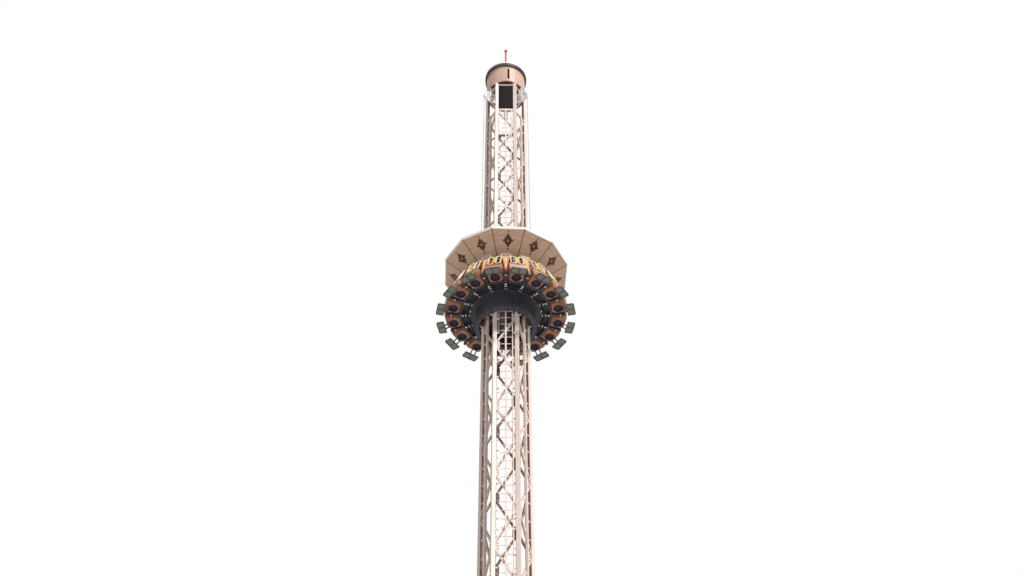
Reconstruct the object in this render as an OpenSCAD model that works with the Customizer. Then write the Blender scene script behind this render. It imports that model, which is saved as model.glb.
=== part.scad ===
// Drop tower ride at half size, in millimetres: a six-column lattice tower with rope sheaves
// and a round head, a lift car that runs on the columns, and a turning gondola ring with
// sixteen seats under a twelve-sided canopy. The origin is on the ground, on the tower's axis.

/* [Tower] */
// Distance from the tower's axis to the centre of each column
tower_r = 400; // [380:5:415]
// Side of a column's square section, set corner outwards
column_w = 64; // [54:2:70]
// Height of one bracing panel, from node to node
panel_h = 715; // [680:5:720]
// Height of the lowest bracing node above the ground
first_node_z = 345; // [300:5:400]
// Width of a diagonal, across its length
brace_w = 34; // [24:1:40]
// Thickness of a diagonal, square to the tower's side
brace_t = 34; // [24:1:40]
// Thickness of the gusset plates at the bracing nodes
gusset_t = 10; // [6:1:16]
// Width of the rail in the middle of each side of the tower
rail_w = 30; // [20:1:36]
// Depth of that rail, square to the tower's side
rail_d = 40; // [24:1:46]
// Height of the base frame
base_h = 80; // [50:5:110]

/* [Ladder] */
// Distance from rung to rung
rung_pitch = 166; // [140:2:200]
// Reach of a rung to each side of the ladder's rail
rung_reach = 90; // [70:2:104]
// Side of a rung's square section
rung_w = 10; // [8:1:16]
// Distance of the cable conduit from the middle of the front side
conduit_x = 120; // [112:1:130]

/* [Head] */
// Height of the open bay over the bracing
bay_h = 1033; // [980:5:1100]
// Radius of the drum
drum_r = 428; // [420:2:450]
// Height of the drum
drum_h = 577; // [500:5:700]
// Height of the slot in the drum's front
slot_h = 400; // [300:5:460]
// Reach of the roof past the drum
roof_reach = 40; // [20:2:60]
// Thickness of the roof
roof_t = 110; // [60:5:140]
// Height of the mast
mast_h = 1150; // [800:10:1400]
// Radius of the mast
mast_r = 20; // [12:1:26]
// Radius of the lamp on the mast
lamp_r = 40; // [30:1:48]

/* [Sheaves] */
// Radius of a sheave
sheave_r = 173; // [160:1:176]
// Width of a sheave's rim
sheave_w = 36; // [30:1:40]
// Radius of a rope
rope_r = 6; // [4:0.5:7]
// Distance from the tower's axis to a sheave's axle
sheave_place = 388; // [384:1:392]
// Height of the sheave axles over the bracing
sheave_rise = 720; // [700:5:740]
// Radius of a sheave's axle
sheave_axle_r = 16; // [12:1:20]

/* [Lift car] */
// Inner radius of the car's rings
car_inner_r = 490; // [484:1:496]
// Outer radius of the car's rings
car_outer_r = 575; // [570:1:580]
// Radius of a guide roller
roller_r = 28; // [22:1:30]
// Length of a guide roller
roller_l = 34; // [26:1:36]
// Thickness of the panels between the car's rings
car_panel_t = 6; // [4:1:8]

/* [Gondola] */
// Height of the foot plates' undersides above the ground, at rest
foot_z = 17806; // [17000:10:18200]
// Number of seats
seat_count = 16; // [16:1:16]
// Outer radius of the gondola's main ring
ring_outer_r = 660; // [640:2:690]
// Height of the main ring
ring_h = 100; // [80:2:110]
// Reach of the seat arms from the tower's axis
arm_reach = 1120; // [1090:5:1130]
// Width of a seat arm
arm_w = 36; // [24:2:40]
// Thickness of the deck plates on the arms
deck_t = 8; // [4:1:12]
// Height of a seat arm
arm_h = 60; // [40:2:70]

/* [Seats] */
// Distance from the tower's axis to the front lip of a seat
lip_r = 1140; // [1130:1:1150]
// Height of the seat surface over the foot plates
seat_rise = 279; // [260:1:300]
// Depth of a seat shell, from its surface to its underside
shell_depth = 205; // [190:1:215]
// Width of a seat shell at its front lip
shell_w = 320; // [300:2:330]
// Depth of the hollow that is sat in
saddle_drop = 15; // [8:1:20]
// Height of a seat back over the seat surface
back_h = 395; // [360:5:400]
// Width of a seat back
back_w = 216; // [200:2:220]
// Distance from the tower's axis to the middle of the foot plates
foot_r = 1224; // [1216:1:1240]
// Width of a footrest
footrest_w = 292; // [270:2:300]
// Depth of a footrest
footrest_d = 148; // [130:2:156]
// Width of the bars of a footrest's frame
foot_bar = 16; // [12:1:20]
// Thickness of a footrest's frame
foot_t = 16; // [12:1:20]

/* [Restraints] */
// Distance from the tower's axis to a restraint's pivot
pivot_r = 905; // [900:1:908]
// Radius of the pivot bar
pivot_bar_r = 9; // [7:1:10]
// Width of one of a restraint's two loops
loop_w = 104; // [90:1:110]
// Length of a loop
loop_l = 345; // [300:5:350]
// Width of the bar that a loop is bent from
loop_bar = 14; // [10:1:16]

/* [Canopy] */
// Distance from the tower's axis to a corner of the canopy's rim
rim_r = 1205; // [1185:1:1225]
// Height of the canopy's rim over the foot plates
rim_rise = 1222; // [1180:2:1250]
// Slope of the canopy's panels, in degrees
panel_slope = 35; // [30:1:36]
// Radius of the canopy's inner edge, to its flats
canopy_inner_r = 690; // [680:2:720]
// Thickness of a canopy panel
panel_t = 8; // [5:0.5:12]
// Height of the rim's band
rim_h = 60; // [30:2:80]

/* [Hidden] */

$fn = 64;
running_gap = 0.5;
pin_gap = 0.05;
seat_gap = 0.3;
arc_step = 15;

// Colours of the real finishes
sand = [0.86, 0.72, 0.63];
dark_steel = [0.16, 0.16, 0.18];
pale_steel = [0.85, 0.86, 0.86];
shell_orange = [0.66, 0.36, 0.20];
pad_yellow = [0.90, 0.72, 0.18];
plate_grey = [0.48, 0.49, 0.46];
panel_brown = [0.55, 0.43, 0.36];
signal_red = [0.72, 0.12, 0.12];

// Tower
sides = 6;
side_angle = 360 / sides;
face_r = tower_r * cos(side_angle / 2);
face_half = tower_r * sin(side_angle / 2);
panel_count = 33;
head_z = first_node_z + panel_count * panel_h;
gusset_h = 150;
gusset_reach = 96;
beam_h = 50;
beam_t = 40;
upper_beam_h = 20;
upper_beam_drop = 55;
slot_w = 44;
slot_depth = 14;
slot_azimuth = 8;
drum_z = head_z + bay_h;
roof_z = drum_z + drum_h;
base_beam_w = 90;
foot_plate_w = 190;
foot_gusset_h = 110;
foot_gusset_l = 80;
gusset_plate_t = 12;
gusset_root = 30;

// Sheaves and ropes
sheave_azimuths = [60, 180, 300];
sheave_z = head_z + sheave_rise;
groove_depth = 8;
rope_turn_r = sheave_r - groove_depth;
groove_r = rope_r + running_gap;
rim_depth = 24;
web_t = 12;
hub_r = 34;
sheave_holes = 6;
sheave_hole_r = 27;
bracket_t = 12;
bracket_gap = 4;
bracket_w = 90;
bracket_drop = 46;

// Lift car, in heights over the foot plates' undersides
car_low = -266;
car_low_h = 60;
car_mid = 94;
car_high = 894;
car_high_h = 60;
car_flange_t = 20;
car_flange_reach = 26;
car_posts = 12;
car_post_w = 30;
car_panel_seam = 4;
car_panel_angle = 360 / car_posts;
car_panel_r = (car_inner_r + car_outer_r + car_post_w) / 2 * cos(car_panel_angle / 2)
    + car_post_w / 2 * sin(car_panel_angle / 2) + seat_gap;
lug_h = 40;
lug_w = 44;
cheek_t = 6;
cheek_h = 50;
cheek_l = 100;
cheek_gap = 1;
roller_axle_r = 7;
roller_place = column_w / 2 + running_gap + roller_r;

// Gondola, seats and canopy
seat_angle = 360 / seat_count;
ring_z = foot_z + car_mid;
arm_z = ring_z + running_gap;
tie_w = 30;
seat_z = foot_z + seat_rise;
shell_back_r = 850;
tie_flat_r = shell_back_r - seat_gap;
tie_r = tie_flat_r / cos(seat_angle / 2);
deck_seam = 4;
shell_nose = 70;
shell_tail = 60;
shell_side_round = 60;
shell_rear_w = 262;
recess_r = 70;
recess_h = 60;
recess_place = 990;
saddle_r = 400;
saddle_back_r = 945;
back_front_r = 934;
back_t = 50;
back_lean = 12;
back_crown_h = 20;
back_crown_d = 16;
stem_w = 18;
stem_x = 44;
stem_top_r = 1036;
stem_sink = 6;
foot_chamfer = 22;
foot_plate_t = 8;
divider_foot_w = 40;
divider_foot_d = 80;
divider_top_r = 950;
divider_top_d = 70;
divider_top_w = 2 * ((divider_top_r - divider_top_d) * tan(seat_angle / 2)
    - (back_w / 2 + seat_gap) / cos(seat_angle / 2));
divider_edge_h = 20;
housing_w = 176;
housing_h = 76;
housing_d = 92;
pivot_rise = 32;
pivot_z = seat_z + back_h + pivot_rise;
pivot_bar_root = 30;
barrel_r = 17;
barrel_half = 62;
loop_x = 73;
arm_bar_w = 26;
arm_inset = 3;
loop_top_r = 990;
loop_top_drop = 64;
loop_lean = 20;
pad_w = 60;
pad_t = 22;
canopy_corners = 12;
corner_angle = 360 / canopy_corners;
canopy_turn = corner_angle / 2 + 2.4;
rim_flat_r = rim_r * cos(corner_angle / 2);
rim_t = 12;
rim_drop = 8;
rim_inner_r = rim_r - rim_t;
canopy_z = foot_z + rim_rise;
canopy_inner_z = canopy_z - (rim_flat_r - canopy_inner_r) * tan(panel_slope);
panel_seam = 12;
panel_outer_r = rim_inner_r * cos(corner_angle / 2) - seat_gap;
panel_inner_r = canopy_inner_r + seat_gap;
rib_h = 44;
inner_ring_w = 50;
inner_ring_h = 40;
canopy_post_w = 34;
post_inset = 14;
post_place = ring_outer_r - canopy_post_w / 2 - post_inset;
rib_root = 20;
rib_toe = 6;

// Moves a child, drawn round the axis at Y = 0, out to a radius on an azimuth.
// Azimuth 0 is the front, towards -Y, and azimuths grow towards +X.
module on_azimuth(azimuth, radius = 0) {
    rotate([0, 0, azimuth]) translate([0, -radius, 0]) children();
}

// Turns a profile drawn in radius and height into a slab across an azimuth's plane
module radial_slab(width) {
    rotate([90, 0, -90]) linear_extrude(width, center = true) children();
}

// A ring of rectangular section
module flat_ring(inner, outer, height) {
    linear_extrude(height) difference() {
        circle(outer);
        circle(inner);
    }
}

function corner_points(radius, corners) = [for (i = [0 : corners - 1])
    radius * [cos(i * 360 / corners), sin(i * 360 / corners)]];

// A regular prism ring with corners at the given azimuth and every equal step from it
module corner_ring(inner, outer, height, corners, first) {
    rotate([0, 0, first - 90]) linear_extrude(height) difference() {
        polygon(corner_points(outer, corners));
        polygon(corner_points(inner, corners));
    }
}

// A column's outline at its own place on the tower
module column_outline(azimuth) {
    on_azimuth(azimuth, tower_r) rotate([0, 0, 45]) square(column_w, center = true);
}

module columns() {
    color(sand)
        for (i = [0 : sides - 1])
            translate([0, 0, base_h])
                linear_extrude(drum_z - base_h)
                    column_outline(side_angle * (i + 0.5));
}

// Triangular plate that stiffens a column's foot, along one direction, rooted in the base
module foot_gusset() {
    toe = column_w / 2 + foot_gusset_l;
    translate([0, gusset_plate_t / 2, base_h])
        rotate([90, 0, 0])
            linear_extrude(gusset_plate_t)
                polygon([[0, -gusset_root], [toe, -gusset_root], [toe, 0],
                    [column_w / 2, foot_gusset_h], [0, foot_gusset_h]]);
}

module base_frame() {
    color(sand)
        difference() {
            union() {
                for (i = [0 : sides / 2 - 1])
                    rotate([0, 0, side_angle * (i + 0.5)])
                        translate([0, 0, base_h / 2])
                            cube([base_beam_w, 2 * tower_r, base_h], center = true);
                corner_ring(tower_r - base_beam_w / 2, tower_r + base_beam_w / 2, base_h,
                    sides, side_angle / 2);
                for (i = [0 : sides - 1])
                    on_azimuth(side_angle * (i + 0.5), tower_r) {
                        translate([0, 0, base_h / 2])
                            cube([foot_plate_w, foot_plate_w, base_h], center = true);
                        for (j = [0 : 3])
                            rotate([0, 0, 45 + 90 * j]) foot_gusset();
                    }
            }
            for (i = [0 : sides - 1])
                translate([0, 0, base_h])
                    linear_extrude(foot_gusset_h + 1)
                        column_outline(side_angle * (i + 0.5));
        }
}

// A bar in the plane of one of the tower's sides
module bar(from, to, width) {
    run = to - from;
    translate(from)
        rotate(atan2(run[1], run[0]))
            translate([0, -width / 2])
                square([norm(run), width]);
}

// The zigzag of one side, which starts at the column on the given hand
module zigzag(hand) {
    for (i = [0 : panel_count - 1]) {
        here = hand * (i % 2 == 0 ? 1 : -1);
        bar([here * face_half, first_node_z + i * panel_h],
            [-here * face_half, first_node_z + (i + 1) * panel_h], brace_w);
    }
}

// Gusset plates of one side
module gussets(hand) {
    for (i = [0 : panel_count]) {
        here = hand * (i % 2 == 0 ? 1 : -1);
        z = first_node_z + i * panel_h;
        half = gusset_h / 2;
        low = i == 0 ? half : gusset_h;
        high = i == panel_count ? half : gusset_h;
        polygon([[here * face_half, z - low], [here * (face_half - gusset_reach), z - low / 2],
            [here * (face_half - gusset_reach), z + high / 2], [here * face_half, z + high]]);
    }
}

// One side's diagonals, cut to the faces of its two columns
module bracing(side) {
    azimuth = side_angle * (side - 1);
    hand = side % 2 == 1 ? 1 : -1;
    color(sand)
        difference() {
            on_azimuth(azimuth, face_r) {
                rotate([90, 0, 0]) linear_extrude(brace_t, center = true) zigzag(hand);
                rotate([90, 0, 0]) linear_extrude(gusset_t, center = true) gussets(hand);
            }
            for (end = [-0.5, 0.5])
                linear_extrude(drum_z) column_outline(azimuth + end * side_angle);
            translate([0, 0, head_z + beam_h])
                cube([4 * tower_r, 4 * tower_r, 2 * beam_h], center = true);
        }
}

rail_place = face_r + brace_t / 2 + rail_d / 2;
rail_top = head_z;

module face_rail() {
    translate([-rail_w / 2, -rail_d / 2, base_h])
        cube([rail_w, rail_d, rail_top - base_h]);
}

module ladder() {
    rung_count = floor((rail_top - first_node_z) / rung_pitch);
    color(sand)
        on_azimuth(0, rail_place) {
            face_rail();
            for (i = [0 : rung_count - 1]) {
                long = i % 4 == 0;
                translate([-rung_reach, -rung_w / 2, first_node_z + i * rung_pitch])
                    cube([rung_reach + (long ? conduit_x : rung_reach), rung_w, rung_w]);
            }
            translate([conduit_x, 0, base_h])
                cylinder(r = rung_w, h = rail_top - base_h, $fn = 8);
        }
}

module side_rails() {
    color(sand)
        for (i = [1 : sides - 1])
            on_azimuth(side_angle * i, rail_place) face_rail();
}

// A ring of beams between the columns
module beam_ring(height) {
    difference() {
        corner_ring(tower_r - beam_t / 2, tower_r + beam_t / 2, height, sides, side_angle / 2);
        for (i = [0 : sides - 1])
            translate([0, 0, -1])
                linear_extrude(height + 2)
                    column_outline(side_angle * (i + 0.5));
    }
}

module head_beams() {
    color(sand) {
        translate([0, 0, head_z]) beam_ring(beam_h);
        translate([0, 0, drum_z - upper_beam_drop]) beam_ring(upper_beam_h);
    }
}

module head_drum() {
    color(sand)
        translate([0, 0, drum_z])
            difference() {
                cylinder(r = drum_r, h = drum_h, $fn = 96);
                on_azimuth(slot_azimuth, drum_r)
                    translate([0, 0, drum_h / 2])
                        cube([slot_w, 2 * slot_depth, slot_h], center = true);
            }
}

module head_roof() {
    color(dark_steel)
        translate([0, 0, roof_z])
            cylinder(r = drum_r + roof_reach, h = roof_t, $fn = 96);
}

module mast() {
    color(signal_red)
        translate([0, 0, roof_z + roof_t]) {
            cylinder(r = 4 * mast_r, h = mast_r);
            cylinder(r = mast_r, h = mast_h);
        }
}

module lamp() {
    color(signal_red)
        translate([0, 0, roof_z + roof_t + mast_h])
            rotate_extrude()
                polygon([[0, 0], [lamp_r * 0.6, 0], [lamp_r, lamp_r * 0.4],
                    [lamp_r, lamp_r * 1.2], [lamp_r * 0.6, lamp_r * 1.8], [0, lamp_r * 2]]);
}

// Two cheeks and the axle that carry one sheave under the drum
module sheave_bracket(azimuth) {
    half = sheave_w / 2 + bracket_gap;
    on_azimuth(azimuth, sheave_place) {
        for (hand = [-1, 1])
            translate([hand * (half + bracket_t / 2), 0, (sheave_z - bracket_drop + drum_z) / 2])
                cube([bracket_t, bracket_w, drum_z - sheave_z + bracket_drop], center = true);
        translate([0, 0, sheave_z])
            rotate([0, 90, 0])
                cylinder(r = sheave_axle_r, h = 2 * (half + bracket_t), center = true);
    }
}

module sheave_brackets() {
    color(pale_steel)
        difference() {
            for (azimuth = sheave_azimuths) sheave_bracket(azimuth);
            translate([0, 0, drum_z - upper_beam_drop]) beam_ring(upper_beam_h);
        }
}

// Grooved rim, web and hub of a sheave, as a profile in radius and width
module sheave_profile() {
    half = sheave_w / 2;
    difference() {
        union() {
            translate([sheave_r - rim_depth, -half]) square([rim_depth, sheave_w]);
            translate([hub_r - 2, -web_t / 2]) square([sheave_r - rim_depth - hub_r + 4, web_t]);
            translate([sheave_axle_r + pin_gap, -half])
                square([hub_r - sheave_axle_r - pin_gap, sheave_w]);
        }
        translate([rope_turn_r, 0]) circle(groove_r, $fn = 32);
        translate([rope_turn_r, -groove_r]) square([rim_depth, 2 * groove_r]);
    }
}

module sheave(number) {
    color(pale_steel)
        on_azimuth(sheave_azimuths[number - 1], sheave_place)
            translate([0, 0, sheave_z])
                rotate([0, 90, 0])
                    difference() {
                        rotate_extrude($fn = 96) sheave_profile();
                        for (i = [0 : sheave_holes - 1])
                            rotate([0, 0, i * 360 / sheave_holes])
                                translate([(hub_r + sheave_r - rim_depth) / 2, 0, 0])
                                    cylinder(r = sheave_hole_r, h = 2 * web_t, center = true);
                    }
}

// The winch's side of each rope: up inside the tower and over its sheave
module winch_ropes() {
    color(dark_steel)
        for (azimuth = sheave_azimuths)
            on_azimuth(azimuth) {
                translate([0, -(sheave_place - rope_turn_r), base_h])
                    cylinder(r = rope_r, h = sheave_z - base_h, $fn = 16);
                translate([0, -sheave_place, sheave_z])
                    rotate([0, 90, 0])
                        rotate([0, 0, 90])
                            rotate_extrude(angle = 180)
                                translate([rope_turn_r, 0]) circle(rope_r, $fn = 16);
            }
}

car_top_z = foot_z + car_high + car_high_h;

// The car's side of each rope, from its sheave down to the car's lug
module lift_ropes() {
    color(dark_steel)
        for (azimuth = sheave_azimuths)
            on_azimuth(azimuth, sheave_place + rope_turn_r)
                translate([0, 0, car_top_z + lug_h])
                    cylinder(r = rope_r, h = sheave_z - car_top_z - lug_h, $fn = 16);
}

// Two cheeks that hold a guide roller's axle, drawn along +X from the column's middle
module roller_cheeks() {
    for (hand = [-1, 1])
        translate([roller_place - cheek_h / 4, hand * (roller_l / 2 + cheek_gap + cheek_t / 2)
            - cheek_t / 2, -cheek_h / 2])
            cube([cheek_l, cheek_t, cheek_h]);
}

// Places a child at each guide roller: two on each column, low and high on the car
module each_roller() {
    for (z = [foot_z + car_low + car_low_h / 2, foot_z + car_high + car_high_h / 2])
        for (i = [0 : sides - 1])
            for (turn = [-45, 45])
                on_azimuth(side_angle * (i + 0.5), tower_r)
                    translate([0, 0, z]) rotate([0, 0, -90 + turn]) children();
}

module car_frame() {
    color(dark_steel) {
        difference() {
            union() {
                translate([0, 0, foot_z + car_low])
                    flat_ring(car_inner_r, car_outer_r, car_low_h);
                translate([0, 0, ring_z])
                    flat_ring(car_inner_r, car_outer_r, ring_h);
                translate([0, 0, ring_z - car_flange_t])
                    flat_ring(car_inner_r, car_outer_r + car_flange_reach, car_flange_t);
                translate([0, 0, foot_z + car_high])
                    flat_ring(car_inner_r, car_outer_r, car_high_h);
                for (i = [0 : car_posts - 1])
                    on_azimuth((i + 0.5) * 360 / car_posts, (car_inner_r + car_outer_r) / 2)
                        translate([-car_post_w / 2, -car_post_w / 2, foot_z + car_low])
                            cube([car_post_w, car_post_w, car_high - car_low + car_high_h]);
                for (azimuth = sheave_azimuths)
                    on_azimuth(azimuth, sheave_place + rope_turn_r)
                        translate([0, 0, car_top_z + lug_h / 2])
                            cube([lug_w, lug_w, lug_h], center = true);
                each_roller() roller_cheeks();
            }
            each_roller()
                translate([roller_place, 0, 0])
                    rotate([90, 0, 0])
                        cylinder(r = roller_axle_r + pin_gap, h = 2 * roller_l, center = true,
                            $fn = 24);
        }
    }
}

// A ring of flat panels on the car's posts, between two heights
module panel_ring(low, high) {
    half = car_panel_r * tan(car_panel_angle / 2) - car_panel_seam / 2;
    for (i = [0 : car_posts - 1])
        on_azimuth(i * car_panel_angle, car_panel_r)
            translate([-half, -car_panel_t, low + seat_gap])
                cube([2 * half, car_panel_t, high - low - 2 * seat_gap]);
}

// Flat panels that close the car between its rings
module car_panels() {
    color(dark_steel) {
        panel_ring(foot_z + car_low + car_low_h, ring_z - car_flange_t);
        panel_ring(ring_z + ring_h, foot_z + car_high);
    }
}

module guide_rollers() {
    color(pale_steel)
        each_roller()
            translate([roller_place, 0, 0])
                rotate([90, 0, 0]) {
                    cylinder(r = roller_r, h = roller_l, center = true, $fn = 32);
                    cylinder(r = roller_axle_r, h = roller_l + 4 * cheek_t, center = true,
                        $fn = 24);
                }
}

module gondola_ring() {
    color(dark_steel)
        translate([0, 0, arm_z])
            flat_ring(car_outer_r + running_gap, ring_outer_r, ring_h);
}

module seat_arms() {
    color(dark_steel)
        difference() {
            union() {
                for (i = [0 : seat_count - 1])
                    on_azimuth(i * seat_angle)
                        translate([-arm_w / 2, -arm_reach, arm_z])
                            cube([arm_w, arm_reach - ring_outer_r + tie_w, arm_h]);
                translate([0, 0, arm_z])
                    corner_ring(tie_r - tie_w, tie_r, arm_h, seat_count, 0);
            }
            translate([0, 0, arm_z - 1]) cylinder(r = ring_outer_r, h = arm_h + 2);
        }
}

// Deck plates that lie on the arms, from the main ring out to the backs of the shells
module gondola_deck() {
    inner = ring_outer_r + seat_gap;
    color(dark_steel)
        each_seat()
            translate([0, 0, arm_z + arm_h + seat_gap])
                linear_extrude(deck_t)
                    polygon([for (end = [[-1, inner], [-1, tie_flat_r], [1, tie_flat_r], [1, inner]])
                        [end[0] * (end[1] * tan(seat_angle / 2) - deck_seam / 2), -end[1]]]);
}

// Points of an arc, from one angle to another in steps of arc_step
function arc(centre, radius, from, to) = [for (a = [from : arc_step : to])
    centre + radius * [cos(a), sin(a)]];

// Side outline of a seat shell, in radius and height
module shell_outline() {
    low = seat_z - shell_depth;
    polygon(concat(
        [[shell_back_r, seat_z]],
        arc([shell_back_r + shell_tail, low + shell_tail], shell_tail, 180, 270),
        arc([lip_r - shell_nose, low + shell_nose], shell_nose, 270, 360),
        [[lip_r, seat_z]]));
}

// Front outline of a seat shell, in width and height, with round lower corners
module shell_front_outline() {
    half = shell_w / 2;
    low = seat_z - shell_depth;
    polygon(concat(
        [[-half, seat_z]],
        arc([-half + shell_side_round, low + shell_side_round], shell_side_round, 180, 270),
        arc([half - shell_side_round, low + shell_side_round], shell_side_round, 270, 360),
        [[half, seat_z]]));
}

module seat_shell() {
    difference() {
        intersection() {
            radial_slab(shell_w) shell_outline();
            translate([0, -shell_back_r, 0])
                rotate([90, 0, 0])
                    linear_extrude(lip_r - shell_back_r)
                        shell_front_outline();
            translate([0, 0, seat_z - shell_depth])
                linear_extrude(shell_depth)
                    polygon([[-shell_rear_w / 2, -shell_back_r], [-shell_w / 2, -lip_r],
                        [shell_w / 2, -lip_r], [shell_rear_w / 2, -shell_back_r]]);
        }
        translate([0, -recess_place, seat_z - shell_depth - 1])
            cylinder(r = recess_r, h = recess_h + 1, $fn = 32);
        translate([0, -saddle_back_r, seat_z + saddle_r - saddle_drop])
            rotate([90, 0, 0])
                cylinder(r = saddle_r, h = lip_r);
    }
}

// Places a child at each seat
module each_seat() {
    for (i = [0 : seat_count - 1])
        on_azimuth((i + 0.5) * seat_angle) children();
}

module seat_shells() {
    color(shell_orange)
        each_seat() seat_shell();
}

module seat_backs() {
    top = seat_z + back_h;
    color(shell_orange)
        each_seat()
            radial_slab(back_w)
                polygon([[back_front_r - back_t, seat_z + seat_gap],
                    [back_front_r, seat_z + seat_gap],
                    [back_front_r - back_lean, top - back_crown_h],
                    [back_front_r - back_lean - back_crown_d, top],
                    [back_front_r - back_lean - back_t, top]]);
}

module seat_dividers() {
    top = seat_z + back_h;
    color(pad_yellow)
        for (i = [0 : seat_count - 1])
            on_azimuth(i * seat_angle)
                hull() {
                    translate([-divider_foot_w / 2, -arm_reach, arm_z + arm_h + seat_gap])
                        cube([divider_foot_w, divider_foot_d, divider_edge_h]);
                    translate([-divider_top_w / 2, -divider_top_r, top - divider_edge_h])
                        cube([divider_top_w, divider_top_d, divider_edge_h]);
                }
}

// The ring of hinge housings between the seats, with a pivot bar before each seat's back
module hinge_ring() {
    top = seat_z + back_h + seat_gap;
    color(panel_brown) {
        for (i = [0 : seat_count - 1])
            on_azimuth(i * seat_angle)
                translate([-housing_w / 2, -pivot_r - housing_d / 2, top])
                    cube([housing_w, housing_d, housing_h]);
        each_seat()
            translate([0, -pivot_r, pivot_z])
                rotate([0, 90, 0])
                    cylinder(r = pivot_bar_r, h = 2 * (barrel_half + pivot_bar_root), center = true,
                        $fn = 32);
    }
}

// One of the footrest's windows, where a foot plate sits
module foot_window(hand) {
    w = (footrest_w - 3 * foot_bar) / 2;
    d = footrest_d - 2 * foot_bar;
    translate([hand * (w + foot_bar) / 2, 0]) square([w, d], center = true);
}

module footrest() {
    low = seat_z - shell_depth;
    half_w = footrest_w / 2;
    half_d = footrest_d / 2;
    on_azimuth(0, foot_r)
        translate([0, 0, foot_z])
            linear_extrude(foot_t)
                difference() {
                    polygon([[-half_w, half_d], [-half_w, -half_d + foot_chamfer],
                        [-half_w + foot_chamfer, -half_d], [half_w - foot_chamfer, -half_d],
                        [half_w, -half_d + foot_chamfer], [half_w, half_d]]);
                    foot_window(-1);
                    foot_window(1);
                }
    for (hand = [-1, 1])
        translate([hand * stem_x, 0, 0])
            radial_slab(stem_w)
                polygon([[stem_top_r, low], [stem_top_r + stem_w, low],
                    [foot_r - half_d + stem_sink, foot_z + foot_t],
                    [foot_r - half_d + stem_sink, foot_z],
                    [foot_r - half_d + stem_sink - stem_w, foot_z]]);
}

module footrests() {
    color(dark_steel)
        each_seat() footrest();
}

module foot_plates() {
    color(plate_grey)
        each_seat()
            on_azimuth(0, foot_r)
                translate([0, 0, foot_z + (foot_t - foot_plate_t) / 2])
                    linear_extrude(foot_plate_t) {
                        foot_window(-1);
                        foot_window(1);
                    }
}

// Outline of a restraint's loop, drawn flat from its top end along -Y
module loop_outline(inset) {
    r = loop_w / 2 - inset;
    polygon(concat(
        arc([0, -loop_w / 2], r, 0, 180),
        arc([0, -loop_l + loop_w / 2], r, 180, 360)));
}

module restraint(number) {
    loop_top_z = pivot_z - loop_top_drop;
    arm_run = [loop_top_r - pivot_r, loop_top_drop];
    color(pad_yellow)
        on_azimuth((number - 0.5) * seat_angle) {
            difference() {
                union() {
                    translate([0, -pivot_r, pivot_z])
                        rotate([0, 90, 0])
                            cylinder(r = barrel_r, h = 2 * barrel_half, center = true, $fn = 32);
                    for (hand = [-1, 1])
                        translate([hand * (barrel_half - arm_inset - arm_bar_w / 2), -pivot_r, pivot_z])
                            rotate([atan2(arm_run[1], arm_run[0]), 0, 0])
                                translate([-arm_bar_w / 2, -norm(arm_run) - loop_bar, -loop_bar / 2])
                                    cube([arm_bar_w, norm(arm_run) + loop_bar, loop_bar]);
                    translate([0, -loop_top_r, loop_top_z])
                        rotate([90 - loop_lean, 0, 0]) {
                            for (hand = [-1, 1])
                                translate([hand * loop_x, 0, 0])
                                    linear_extrude(loop_bar, center = true)
                                        difference() {
                                            loop_outline(0);
                                            loop_outline(loop_bar);
                                        }
                            translate([-pad_w / 2, -loop_l + loop_w / 2, -pad_t / 2])
                                cube([pad_w, loop_l - loop_w, pad_t]);
                        }
                }
                translate([0, -pivot_r, pivot_z])
                    rotate([0, 90, 0])
                        cylinder(r = pivot_bar_r + pin_gap, h = 3 * barrel_half, center = true,
                            $fn = 32);
            }
        }
}

module canopy_panels() {
    half_angle = corner_angle / 2;
    slant = (panel_outer_r - panel_inner_r) / cos(panel_slope);
    side_gap = (panel_seam / 2 + seat_gap + panel_t * sin(panel_slope) * sin(half_angle))
        / cos(half_angle);
    top_half = panel_outer_r * tan(half_angle) - side_gap;
    low_half = panel_inner_r * tan(half_angle) - side_gap;
    color(panel_brown)
        for (i = [0 : canopy_corners - 1])
            on_azimuth(canopy_turn + (i + 0.5) * corner_angle, panel_outer_r)
                translate([0, 0, canopy_z - (rim_flat_r - panel_outer_r) * tan(panel_slope)])
                    rotate([-panel_slope, 0, 0])
                        linear_extrude(panel_t)
                            polygon([[-top_half, 0], [top_half, 0],
                                [low_half, slant], [-low_half, slant]]);
}

module canopy_rim() {
    color("white")
        translate([0, 0, canopy_z - rim_drop])
            corner_ring(rim_inner_r, rim_r, rim_h, canopy_corners, canopy_turn);
}

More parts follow.
